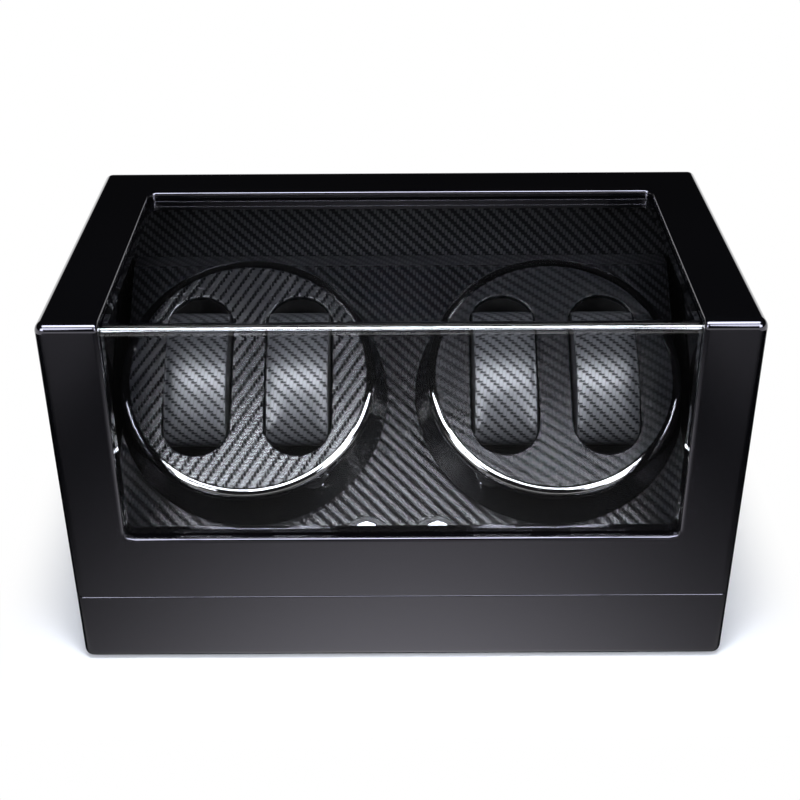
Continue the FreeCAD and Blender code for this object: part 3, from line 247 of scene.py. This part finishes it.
def leatherette(name, roughness, lustre, gap_tone, turn=None, spin=0.0, tow=TOW_OVER):
    """Embossed leatherette: its two tows' lustre, how light the gaps between tow crests are, its lay and
    tone.
    """
    made, tree, shader = new_finish(name)
    laid = put(tree, "ShaderNodeTexCoord").outputs["UV" if turn is None else "Object"]
    sockets = {"Vector": laid, "Rotation": (turn or 0, 0, spin), "Scale": (1 / TOW, 1 / TOW, 1 / TOW)}
    place = put(tree, "ShaderNodeMapping", sockets).outputs["Vector"]
    twill = put(tree, "ShaderNodeGroup", node_tree=TWILL)
    tree.links.new(place, twill.inputs["Place"])
    height, over = twill.outputs["Height"], twill.outputs["Over"]
    back = spread(tree, height, *TOW_BACK, 0, 1, "SMOOTHSTEP")
    gap = calc(tree, "MULTIPLY", calc(tree, "SUBTRACT", 1, back), gap_tone)
    crest = calc(tree, "MULTIPLY_ADD", over, back, gap)
    two_tone(tree, shader, crest, TOW_UNDER, tow)
    sheen = put(tree, "ShaderNodeValToRGB", {"Fac": crest})
    for stop, level in zip(sheen.color_ramp.elements, lustre):
        stop.color = (level, level, level, 1)
    tree.links.new(sheen.outputs["Color"], shader.inputs["Specular Tint"])
    worn = spread(tree, grain(tree, 40, 3), 0.3, 0.7, roughness - 0.02, roughness + 0.02)
    tree.links.new(worn, shader.inputs["Roughness"])
    emboss(tree, shader, height, 0.9, EMBOSS_DEPTH)
    settle(shader, Specular_IOR_Level=0.8)
    return made


# Each piece's lustre and gap tone make lit and shaded copies of one leatherette: painted shade and sheen.
DECK_PAINTED_LIGHT_LOOK = {"roughness": 0.24, "lustre": (0.03, 0.38), "gap_tone": 0.05}
STRIP_PAINTED_LIGHT_LOOK = {"roughness": 0.38, "lustre": (0.08, 0.62), "gap_tone": 0.15}
dress(leatherette("deck_leatherette", turn=-DECK_TILT, **DECK_PAINTED_LIGHT_LOOK), "deck_panel")
dress(leatherette("ledge_leatherette", turn=0.0, **STRIP_PAINTED_LIGHT_LOOK), "deck_ledge")
dress(leatherette("lining_leatherette", turn=-math.pi / 2, **STRIP_PAINTED_LIGHT_LOOK), "lid_rear_lining")


# Boards under the deck: a batten, two cheeks and an upright rear board, in plain fibreboard painted black,
# glued and pinned where the covering hides them.
BOARD_PAINT = (0.012, 0.012, 0.012, 1)
BOARD_SCUFF = (0.035, 0.033, 0.030, 1)


def painted_board():
    made, tree, shader = new_finish("painted_fibreboard")
    brush = grain(tree, 220, 5, (1, 1, 0.2), 0.65)
    two_tone(tree, shader, brush, BOARD_PAINT, BOARD_SCUFF)
    emboss(tree, shader, brush, 0.3, 0.15 * MM)
    tree.links.new(spread(tree, brush, 0.2, 0.8, 0.55, 0.8), shader.inputs["Roughness"])
    return made


dress(painted_board(), "deck_rear_board", "deck_cheek_left", "deck_cheek_right", "deck_front_batten")


# Drive under the deck: each gear motor hangs in a bent steel bracket and turns its spindle's pulley
# through a round rubber belt. The spindle is turned steel in a sintered bronze bush, kept by a clip.
SIDES = ("left", "right")
STEEL_TONES = ((0.45, 0.45, 0.46, 1), (0.60, 0.60, 0.61, 1))
PLATED_TONES = ((0.50, 0.49, 0.45, 1), (0.66, 0.65, 0.60, 1))
BRONZE_TONES = ((0.32, 0.20, 0.09, 1), (0.50, 0.33, 0.16, 1))
ACETAL_TONES = ((0.30, 0.29, 0.26, 1), (0.42, 0.41, 0.38, 1))


def smooth_plastic(name, tones, roughness):
    """Moulded plastic with the slight unevenness of its mould."""
    made, tree, shader = new_finish(name)
    flow = grain(tree, 60, 4)
    two_tone(tree, shader, flow, *tones)
    tree.links.new(spread(tree, flow, 0.3, 0.7, *roughness), shader.inputs["Roughness"])
    emboss(tree, shader, grain(tree, 1400, 2), 0.04, 0.05 * MM)
    return made


steel = worked_metal("turned_steel", STEEL_TONES, (0.18, 0.34), 700, (1, 1, 6))
plated = worked_metal("plated_steel", PLATED_TONES, (0.25, 0.42), 260, (1, 4, 1))
bronze = worked_metal("sintered_bronze", BRONZE_TONES, (0.35, 0.55), 2200)
acetal = smooth_plastic("acetal_pulley", ACETAL_TONES, (0.35, 0.5))
belt_rubber = rubber("belt_rubber")
for side in SIDES:
    dress(steel, f"spindle_{side}", f"spindle_clip_{side}")
    dress(bronze, f"spindle_bush_{side}")
    dress(acetal, f"drive_pulley_{side}", f"motor_pulley_{side}")
    dress(plated, f"motor_bracket_{side}", f"gear_motor_{side}")
    dress(belt_rubber, f"drive_belt_{side}")


# Electrics: a circuit board on nylon standoffs, two rotary switches under the deck, and a round power
# socket through the rear wall with its nut.
MASK_GREEN = (0.004, 0.035, 0.014, 1)
MASK_LIGHT = (0.012, 0.080, 0.032, 1)
NYLON_TONES = ((0.55, 0.54, 0.50, 1), (0.68, 0.67, 0.63, 1))
BLACK_TONES = ((0.008, 0.008, 0.008, 1), (0.018, 0.018, 0.018, 1))


def circuit_board():
    made, tree, shader = new_finish("solder_mask")
    place = put(tree, "ShaderNodeTexCoord").outputs["Object"]
    tracks = put(tree, "ShaderNodeTexBrick", {"Vector": place, "Scale": 90.0, "Mortar Size": 0.03})
    lines = calc(tree, "MULTIPLY_ADD", grain(tree, 300, 3), 0.3, tracks.outputs["Fac"])
    two_tone(tree, shader, lines, MASK_GREEN, MASK_LIGHT)
    emboss(tree, shader, lines, 0.3, 0.05 * MM)
    tree.links.new(spread(tree, lines, 0, 1, 0.25, 0.4), shader.inputs["Roughness"])
    return made


dress(circuit_board(), "control_board")
dress(smooth_plastic("nylon_standoff", NYLON_TONES, (0.4, 0.55)), "board_standoffs")
black_plastic = smooth_plastic("black_plastic", BLACK_TONES, (0.3, 0.45))
dress(black_plastic, "mode_switch_left", "mode_switch_right", "power_inlet")
dress(plated, "inlet_nut")


# Turntables: a drum moulded in gloss black plastic, flared to its foot under a rounded rim, a covered face
# plate pressed into it and a black tub under each of its two slots. The two faces were cut from the roll
# at different angles, and the right face is given a duller lustre than the left: a painted shade.
DRUM_BLACK = (0.0010, 0.0010, 0.0012, 1)
DRUM_SHEEN = (0.0018, 0.0018, 0.0021, 1)
TUB_DARK = (0.002, 0.002, 0.002, 1)
TUB_LIGHT = (0.006, 0.006, 0.006, 1)
FACE_SPINS = (math.radians(77.6), math.radians(-10))
# The two faces' lustres differ as painted shade on the right face and painted sheen on the left.
FACE_PAINTED_LIGHT_LUSTRES = ((0.05, 0.80), (0.07, 0.28))


def gloss_drum():
    made, tree, shader = new_finish("gloss_drum")
    flow = grain(tree, 12, 3)
    two_tone(tree, shader, flow, DRUM_BLACK, DRUM_SHEEN)
    tree.links.new(spread(tree, flow, 0.3, 0.7, 0.05, 0.1), shader.inputs["Roughness"])
    emboss(tree, shader, grain(tree, 30, 1), 0.05, 1.0 * MM)
    settle(shader, Coat_Weight=1.0, Coat_Roughness=0.02, Coat_IOR=2.8)
    return made


def matt_tub():
    made, tree, shader = new_finish("matt_tub")
    flock = grain(tree, 2600, 4, roughness=0.8)
    two_tone(tree, shader, flock, TUB_DARK, TUB_LIGHT)
    emboss(tree, shader, flock, 0.4, 0.2 * MM)
    tree.links.new(spread(tree, flock, 0.2, 0.8, 0.7, 0.95), shader.inputs["Roughness"])
    settle(shader, Specular_IOR_Level=0.2)
    return made


drum_finish = gloss_drum()
tub_finish = matt_tub()
for side, spin, lustre in zip(SIDES, FACE_SPINS, FACE_PAINTED_LIGHT_LUSTRES):
    dress(drum_finish, f"turntable_drum_{side}")
    face_painted_light_look = {"roughness": 0.23, "lustre": lustre, "gap_tone": 0.4}
    face_finish = leatherette(f"face_leatherette_{side}", turn=-DECK_TILT, spin=spin, **face_painted_light_look)
    dress(face_finish, f"face_plate_{side}")
    dress(tub_finish, f"pillow_well_{side}_outer", f"pillow_well_{side}_inner")


# Watch pillows: a foam oval wrapped in the same leatherette, with a plain panel sewn into each side. Its
# tows are painted lighter and glossier than on the deck, a painted sheen. The wrap is drawn in at its
# seams, meets itself underneath and is pressed out by its filling.
PILLOW_HALF_LENGTH = 37.5 * MM
PILLOW_HALF_HEIGHT = 19 * MM
PILLOW_HALF_WIDTH = 16 * MM
PILLOW_END = 13 * MM
PILLOW_EDGE = 1.8 * MM
SIDE_SWELL = 0.4 * MM
SEAM_DEPTH = 0.35 * MM
SEAM_STATION = 0.93
SEAM_SPREAD = 0.015
UNDER_SEAM = 0.8 * MM
EDGE_POWER = 12
RING_POINTS = 132
STATIONS = 33
PANEL_RINGS = 7
SOFT_UNEVENNESS = 0.10 * MM
LUMP_SIZE = 9 * MM
LUMPS_ACROSS = 1.7
FILLING_SWELL = 0.8 * MM
FILLING_SCALE = 20
FILLING_PRESSURE = 3.5
SEAM_HOLD = 0.6 * MM
FILLING_FRAMES = 20
PORE_TONES = ((0.006, 0.006, 0.006, 1), (0.016, 0.016, 0.017, 1))
# The pillow's tow tone is painted four times lighter than the deck's: a painted sheen.
PILLOW_LIT_TOW = (0.036, 0.037, 0.040, 1)


def oval_wrap(count):
    """Points, outward directions and run round an oval of two flat and two round arcs, starting below."""
    reach = PILLOW_HALF_LENGTH - PILLOW_END
    rise = PILLOW_HALF_HEIGHT - PILLOW_END
    drop = (reach ** 2 + PILLOW_HALF_HEIGHT ** 2 - PILLOW_END ** 2) / (2 * rise)
    flat_angle = math.atan2(reach, drop - PILLOW_HALF_HEIGHT)
    round_angle = math.pi - 2 * flat_angle
    arcs = ((0, drop - PILLOW_HALF_HEIGHT, drop, -math.pi / 2, flat_angle),
            (reach, 0, PILLOW_END, flat_angle - math.pi / 2, round_angle),
            (0, PILLOW_HALF_HEIGHT - drop, drop, math.pi / 2 - flat_angle, 2 * flat_angle),
            (-reach, 0, PILLOW_END, math.pi / 2 + flat_angle, round_angle),
            (0, drop - PILLOW_HALF_HEIGHT, drop, -math.pi / 2 - flat_angle, flat_angle))
    whole = sum(radius * sweep for _, _, radius, _, sweep in arcs)
    wrap = []
    for step in range(count):
        run = whole * step / count
        left = run
        for along, up, radius, start, sweep in arcs:
            if left <= radius * sweep:
                break
            left -= radius * sweep
        out = Vector((0, math.cos(start + left / radius), math.sin(start + left / radius)))
        wrap.append((Vector((0, along, up)) + radius * out, out, run))
    return wrap, whole


def pillow_mesh(name):
    """The wrap from seam to seam and the two side panels, in one closed mesh with the wrap's own map."""
    wrap, whole = oval_wrap(RING_POINTS)
    shape = bmesh.new()
    map_layer = shape.loops.layers.uv.new("wrap")
    rings = []
    for step in range(STATIONS):
        share = math.sin(math.pi / 2 * (2 * step / (STATIONS - 1) - 1))
        drawn = FILLING_SWELL + (PILLOW_EDGE - FILLING_SWELL) * abs(share) ** EDGE_POWER
        drawn += SEAM_DEPTH * math.exp(-((abs(share) - SEAM_STATION) / SEAM_SPREAD) ** 2)
        ring = []
        for point, out, run in wrap:
            seam_below = math.exp(-(min(run, whole - run) / UNDER_SEAM) ** 2)
            spot = Vector((share * LUMPS_ACROSS, point.y / LUMP_SIZE, point.z / LUMP_SIZE))
            lump = noise.noise(spot)
            sunk = drawn + SEAM_DEPTH * seam_below + SOFT_UNEVENNESS * lump * (1 - share ** 2)
            ring.append(shape.verts.new(point - sunk * out + Vector((share * PILLOW_HALF_WIDTH, 0, 0))))
        rings.append((ring, share))
    for end in (0, -1):
        edge, share = rings[end]
        panel = []
        for step in range(1, PANEL_RINGS + 1):
            scale = 1 - step / (PANEL_RINGS + 0.5)
            swell = share * SIDE_SWELL * (1 - scale ** 2)
            ring = [shape.verts.new((v.co.x + swell, v.co.y * scale, v.co.z * scale)) for v in edge]
            panel.append((ring, None))
        rings = rings + panel if end else panel[::-1] + rings
    for (near, near_share), (far, far_share) in zip(rings, rings[1:]):
        on_wrap = near_share is not None and far_share is not None
        for step in range(RING_POINTS):
            after = (step + 1) % RING_POINTS
            face = shape.faces.new((near[step], far[step], far[after], near[after]))
            face.smooth = True
            face.material_index = 0 if on_wrap else 1
            runs = (step, step, step + 1, step + 1)
            for loop, turn in zip(face.loops, runs):
                loop[map_layer].uv = (-loop.vert.co.x, whole * turn / RING_POINTS)
    for cap in (rings[0][0], list(reversed(rings[-1][0]))):
        face = shape.faces.new(cap)
        face.material_index = 1
        face.smooth = True
    bmesh.ops.recalc_face_normals(shape, faces=shape.faces)
    mesh = bpy.data.meshes.new(name)
    shape.to_mesh(mesh)
    shape.free()
    return mesh


def fill_out(mesh):
    """Press the wrap out by its filling in a cloth run at a larger scale, sewn fast at its side seams."""
    scene = bpy.context.scene
    model = bpy.data.objects.new("pillow_filling", mesh.copy())
    model.data.transform(Matrix.Scale(FILLING_SCALE, 4))
    scene.collection.objects.link(model)
    sewn = model.vertex_groups.new(name="side_seams")
    at_seam = SEAM_STATION * PILLOW_HALF_WIDTH - SEAM_HOLD
    sewn.add([v.index for v in mesh.vertices if abs(v.co.x) > at_seam], 1.0, "ADD")
    cloth = model.modifiers.new("filling", "CLOTH")
    cloth.settings.vertex_group_mass = sewn.name
    cloth.settings.use_pressure = True
    cloth.settings.uniform_pressure_force = FILLING_PRESSURE
    cloth.settings.effector_weights.gravity = 0
    cloth.collision_settings.use_collision = False
    cloth.point_cache.frame_end = FILLING_FRAMES
    for step in range(1, FILLING_FRAMES + 1):
        scene.frame_set(step)
    filled = model.evaluated_get(bpy.context.evaluated_depsgraph_get())
    for vertex, moved in zip(mesh.vertices, filled.data.vertices):
        shift = moved.co / FILLING_SCALE - vertex.co
        vertex.co += shift * min(1, FILLING_SWELL / max(shift.length, FILLING_SWELL))
    bpy.data.objects.remove(model)
    scene.frame_set(1)


def side_panel():
    made, tree, shader = new_finish("plain_leatherette")
    place = put(tree, "ShaderNodeTexCoord").outputs["Object"]
    pores = put(tree, "ShaderNodeTexVoronoi", {"Vector": place, "Scale": 1100.0}).outputs["Distance"]
    two_tone(tree, shader, pores, *PORE_TONES)
    emboss(tree, shader, pores, 0.4, 0.15 * MM)
    tree.links.new(spread(tree, pores, 0, 0.8, 0.42, 0.6), shader.inputs["Roughness"])
    return made


# High lustre, light gaps and the lighter tow tone on the pillows: a painted sheen.
WRAP_PAINTED_SHEEN_LOOK = {"roughness": 0.36, "lustre": (0.22, 1.0), "gap_tone": 0.70, "tow": PILLOW_LIT_TOW}
wrap_finish = leatherette("pillow_leatherette", **WRAP_PAINTED_SHEEN_LOOK)
panel_finish = side_panel()
pillow_form = pillow_mesh("watch_pillow_form")
fill_out(pillow_form)
pillow_form.materials.append(wrap_finish)
pillow_form.materials.append(panel_finish)
for side in SIDES:
    for part in ("outer", "inner"):
        solid = f"watch_pillow_{side}_{part}"
        low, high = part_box(solid)
        pillow = bpy.data.objects.new(f"padded_pillow_{side}_{part}", pillow_form.copy())
        bpy.context.scene.collection.objects.link(pillow)
        pillow.matrix_world = Matrix.Translation((low + high) / 2) @ Matrix.Rotation(DECK_TILT, 4, "X")
        rounding = pillow.modifiers.new("rounding", "SUBSURF")
        rounding.levels = rounding.render_levels = 1
        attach(pillow, f"pillow_{side}_{part}")
        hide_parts(solid)


# Selectors: a die-cast knob with fluted sides on a raised bezel ring. The knob and the ring's edge are
# chrome plated, and the ring's flat is sprayed satin black.
CHROME_DARK = (0.58, 0.58, 0.60, 1)
CHROME_LIGHT = (0.78, 0.78, 0.80, 1)
BEZEL_BLACK = (0.012, 0.012, 0.013, 1)
BEZEL_FLAT = (0.97, 0.99)


def bezel_ring():
    made, tree, shader = new_finish("bezel_ring")
    faced = put(tree, "ShaderNodeNewGeometry").outputs["Normal"]
    deck_normal = (0, -math.sin(DECK_TILT), math.cos(DECK_TILT))
    along = put(tree, "ShaderNodeVectorMath", {0: faced, 1: deck_normal}, operation="DOT_PRODUCT")
    flat = spread(tree, along.outputs["Value"], *BEZEL_FLAT, 0, 1)
    two_tone(tree, shader, flat, CHROME_LIGHT, BEZEL_BLACK)
    speckle = spread(tree, grain(tree, 1500, 3), 0.3, 0.7, 0.36, 0.46)
    tree.links.new(calc(tree, "MULTIPLY_ADD", flat, speckle, 0.08), shader.inputs["Roughness"])
    tree.links.new(calc(tree, "SUBTRACT", 1, flat), shader.inputs["Metallic"])
    return made


chrome = worked_metal("chrome_plate", (CHROME_DARK, CHROME_LIGHT), (0.16, 0.26), 160)
ring_finish = bezel_ring()
for side in SIDES:
    dress(ring_finish, f"knob_bezel_{side}")
    dress(chrome, f"mode_knob_{side}")


# Window pane: one sheet of clear acrylic, heated and bent once over the front top edge, and held in a
# groove all round the lid's window. The bend keeps a brighter polish than the flats.
PANE_CLEAR = (0.985, 0.988, 0.99, 1)
BEND_LEAN = (0.1, 0.35)


def clear_acrylic():
    made, tree, shader = new_finish("clear_acrylic")
    wipe = grain(tree, 14, 3)
    two_tone(tree, shader, wipe, PANE_CLEAR, (1, 1, 1, 1))
    settle(shader, Roughness=0.0, IOR=1.2, Transmission_Weight=1.0, Coat_Roughness=0.08, Coat_IOR=1.9)
    faced = put(tree, "ShaderNodeNewGeometry").outputs["Normal"]
    facing = put(tree, "ShaderNodeSeparateXYZ", {0: faced}).outputs
    leaning = calc(tree, "MULTIPLY", *(calc(tree, "ABSOLUTE", facing[axis]) for axis in (1, 2)))
    tree.links.new(spread(tree, leaning, *BEND_LEAN, 0, 1), shader.inputs["Coat Weight"])
    emboss(tree, shader, grain(tree, 9, 1), 0.02, 1.0 * MM)
    path = put(tree, "ShaderNodeLightPath").outputs
    through = calc(tree, "MAXIMUM", path["Is Shadow Ray"], path["Is Diffuse Ray"])
    clear = put(tree, "ShaderNodeBsdfTransparent")
    both = put(tree, "ShaderNodeMixShader", {0: through, 1: shader.outputs[0], 2: clear.outputs[0]})
    tree.links.new(both.outputs[0], tree.nodes["Material Output"].inputs["Surface"])
    return made


dress(clear_acrylic(), "window_pane")


# Hinges: two pressed steel butt hinges, nickel plated and each on a steel pin, let into the rear walls of
# the base and the lid and held by countersunk screws.
NICKEL_TONES = ((0.48, 0.46, 0.42, 1), (0.64, 0.62, 0.58, 1))
nickel = worked_metal("nickel_plate", NICKEL_TONES, (0.16, 0.30), 340, (4, 1, 1))
for side in SIDES:
    dress(nickel, f"hinge_base_leaf_{side}", f"hinge_lid_leaf_{side}")
    dress(steel, f"hinge_pin_{side}")
dress(zinc, "hinge_base_screws", "hinge_lid_screws")


# Studio: a pale sweep that is white away from the box and keeps its shadow near it, an overhead softbox a
# little in front with a glowing wing on each side that only the gloss sees, painted highlights, two pairs
# of fills beside the camera, a black card before the box whose glow only the gloss sees, a painted
# reflection, and a dim room with a pale horizon.
FLOOR_TONE = (0.86, 0.86, 0.86, 1)
FLOOR_HALF = 9.0
SHADOW_NEAR = 0.0
SHADOW_FAR = 0.06


def sheet_of(name, half_x, low_y, high_y, height):
    """A flat sheet of the studio."""
    mesh = bpy.data.meshes.new(name)
    corners = [(x, y, height) for x, y in
               ((-half_x, low_y), (half_x, low_y), (half_x, high_y), (-half_x, high_y))]
    mesh.from_pydata(corners, [], [(0, 1, 2, 3)])
    made = bpy.data.objects.new(name, mesh)
    bpy.context.scene.collection.objects.link(made)
    return made


def beyond_box(tree):
    """How far a place on the floor is from the box's footprint."""
    place = put(tree, "ShaderNodeNewGeometry").outputs["Position"]
    axes = put(tree, "ShaderNodeSeparateXYZ", {0: place}).outputs
    half = (cad_box[1] - cad_box[0]) / 2
    apart = [calc(tree, "SUBTRACT", calc(tree, "ABSOLUTE", axes[i]), half[i]) for i in (0, 1)]
    return calc(tree, "MAXIMUM", *apart)


floor = sheet_of("studio_floor", FLOOR_HALF, -FLOOR_HALF, FLOOR_HALF, 0.0)
floor_finish, floor_tree, floor_shader = new_finish("studio_paper")
floor_shader.inputs["Base Color"].default_value = FLOOR_TONE
settle(floor_shader, Roughness=0.9, Specular_IOR_Level=0.0)
path = put(floor_tree, "ShaderNodeLightPath").outputs
seen = calc(floor_tree, "MAXIMUM", path["Is Camera Ray"], path["Is Glossy Ray"])
seen = calc(floor_tree, "MAXIMUM", seen, path["Is Transmission Ray"])
away = spread(floor_tree, beyond_box(floor_tree), SHADOW_NEAR, SHADOW_FAR, 0, 1, "SMOOTHSTEP")
white = put(floor_tree, "ShaderNodeEmission", {"Color": (1, 1, 1, 1), "Strength": 1.0})
shares = {0: calc(floor_tree, "MULTIPLY", seen, away), 1: floor_shader.outputs[0], 2: white.outputs[0]}
floor_mix = put(floor_tree, "ShaderNodeMixShader", shares)
floor_tree.links.new(floor_mix.outputs[0], floor_tree.nodes["Material Output"].inputs["Surface"])
floor.data.materials.append(floor_finish)

# The card is hidden from the camera, diffuse light and shadows; its glow, brightest just before the box,
# shows only in the gloss: a painted reflection.
CARD_GLOW = 1.15
CARD_FADE = 0.145
CARD_WIDTH = 0.155
CARD_REAR = 0.10
CARD_HALF = 0.6
CARD_FRONT = -1.2
CARD_LIFT = 1 * MM
SIDE_GLOW = 0.2
SIDE_FROM = (0.19, 0.25)
SIDE_AHEAD = (0.12, 0.40)
card = sheet_of("reflection_card", CARD_HALF, CARD_FRONT, CARD_REAR, CARD_LIFT)
card_finish, card_tree, card_shader = new_finish("reflection_card")
settle(card_shader, Base_Color=(0, 0, 0, 1), Roughness=1.0, Specular_IOR_Level=0.0)
card_place = put(card_tree, "ShaderNodeNewGeometry").outputs["Position"]
card_axes = put(card_tree, "ShaderNodeSeparateXYZ", {0: card_place}).outputs
ahead = calc(card_tree, "SUBTRACT", cad_box[0].y, card_axes[1])
aside = calc(card_tree, "ABSOLUTE", card_axes[0])
fall = calc(card_tree, "DIVIDE", ahead, -CARD_FADE)
narrow = calc(card_tree, "POWER", calc(card_tree, "DIVIDE", aside, CARD_WIDTH), 2)
lobe = calc(card_tree, "EXPONENT", calc(card_tree, "SUBTRACT", fall, narrow))
middle = calc(card_tree, "MULTIPLY", lobe, CARD_GLOW)
outward = spread(card_tree, aside, *SIDE_FROM, 0, SIDE_GLOW, "SMOOTHSTEP")
sides = calc(card_tree, "MULTIPLY", outward, spread(card_tree, ahead, *SIDE_AHEAD, 0, 1, "SMOOTHSTEP"))
in_front = calc(card_tree, "GREATER_THAN", ahead, 0)
card_glow = calc(card_tree, "MULTIPLY", calc(card_tree, "ADD", middle, sides), in_front)
settle(card_shader, Emission_Color=(1, 1, 1, 1))
card_tree.links.new(card_glow, card_shader.inputs["Emission Strength"])
card.data.materials.append(card_finish)

KEY_PLACE = Vector((0.0, -0.395, 0.85))
KEY_SIZE = (0.46, 0.27)
KEY_AIM = Vector((0.0, -0.395, 0.0))
KEY_WATTS = 7.5
FILL_AIM = Vector((0.0, 0.0, 0.10))
FILLS = (("side_fill", (0.50, -0.82, 0.80), (0.34, 0.34), 3.2),
         ("low_fill", (0.72, -0.84, 0.60), (0.40, 0.34), 5.0))
LAMP_TINT = (0.87, 0.91, 1.0)
lamps = [("softbox", KEY_PLACE, KEY_AIM, KEY_SIZE, KEY_WATTS)]
for name, place, size, watts in FILLS:
    for side, hand in zip(SIDES, (-1, 1)):
        spot = Vector((hand * place[0], place[1], place[2]))
        lamps.append((f"{name}_{side}", spot, FILL_AIM, size, watts))
for name, place, target, size, watts in lamps:
    lamp = bpy.data.lights.new(name, "AREA")
    lamp.shape = "RECTANGLE"
    lamp.size, lamp.size_y = size
    lamp.energy = watts
    lamp.color = LAMP_TINT
    holder = bpy.data.objects.new(name, lamp)
    turn = (target - place).to_track_quat("-Z", "Y").to_matrix().to_4x4()
    holder.matrix_world = Matrix.Translation(place) @ turn
    holder.visible_camera = False
    bpy.context.scene.collection.objects.link(holder)

# The wings are hidden from the camera and diffuse light and cast no shadow; they show only in the gloss:
# painted highlights.
WING_REACH = 0.60
WING_FADE = 0.7 * WING_REACH
WING_GLOW = 17.0
WING_GAP = 10 * MM
half_key = (KEY_SIZE[0] / 2, KEY_SIZE[1] / 2)
wing_ends = (KEY_PLACE.y - half_key[1], KEY_PLACE.y + half_key[1])
wings = sheet_of("highlight_wings", WING_REACH, *wing_ends, KEY_PLACE.z + WING_GAP)
wing_finish, wing_tree, wing_shader = new_finish("highlight_wings")
wing_place = put(wing_tree, "ShaderNodeNewGeometry").outputs["Position"]
wing_axes = put(wing_tree, "ShaderNodeSeparateXYZ", {0: wing_place}).outputs
aside = calc(wing_tree, "ABSOLUTE", wing_axes[0])
inner = spread(wing_tree, aside, half_key[0], half_key[0] + WING_GAP, 0, 1)
outer = spread(wing_tree, aside, WING_FADE, WING_REACH, WING_GLOW, 0)
settle(wing_shader, Base_Color=(0, 0, 0, 1), Specular_IOR_Level=0.0, Emission_Color=(*LAMP_TINT, 1))
wing_tree.links.new(calc(wing_tree, "MULTIPLY", inner, outer), wing_shader.inputs["Emission Strength"])
wings.data.materials.append(wing_finish)
for sheet in (card, wings):
    sheet.visible_camera = sheet.visible_diffuse = sheet.visible_shadow = False

HORIZON_END = math.sin(math.radians(4))
DIM_START = math.sin(math.radians(10))
ROOM_DIM = 0.005
room = bpy.data.worlds.new("studio_room")
bpy.context.scene.world = room
room.use_nodes = True
room_tree = room.node_tree
direction = put(room_tree, "ShaderNodeTexCoord").outputs["Generated"]
upward = put(room_tree, "ShaderNodeSeparateXYZ", {0: direction}).outputs[2]
glow = spread(room_tree, upward, HORIZON_END, DIM_START, 1.0, ROOM_DIM, "SMOOTHSTEP")
room_tree.links.new(glow, room_tree.nodes["Background"].inputs["Strength"])
room_tree.nodes["Background"].inputs["Color"].default_value = (1, 1, 1, 1)

CAMERA_PLACE = (-0.0004, -0.6402, 0.4878)
CAMERA_PITCH = math.radians(90 - 31.08)
CAMERA_YAW = math.radians(0.03)
CAMERA_ROLL = math.radians(-0.32)
CAMERA_LENS = 61.23
lens = bpy.data.cameras.new("studio_camera")
lens.lens = CAMERA_LENS
lens.sensor_width = 36
lens.clip_start = 0.01
camera = bpy.data.objects.new("studio_camera", lens)
aim = Euler((CAMERA_PITCH, 0, CAMERA_YAW)).to_matrix().to_4x4() @ Matrix.Rotation(CAMERA_ROLL, 4, "Z")
camera.matrix_world = Matrix.Translation(CAMERA_PLACE) @ aim
bpy.context.scene.collection.objects.link(camera)
bpy.context.scene.camera = camera
bpy.context.scene.view_settings.view_transform = "Standard"
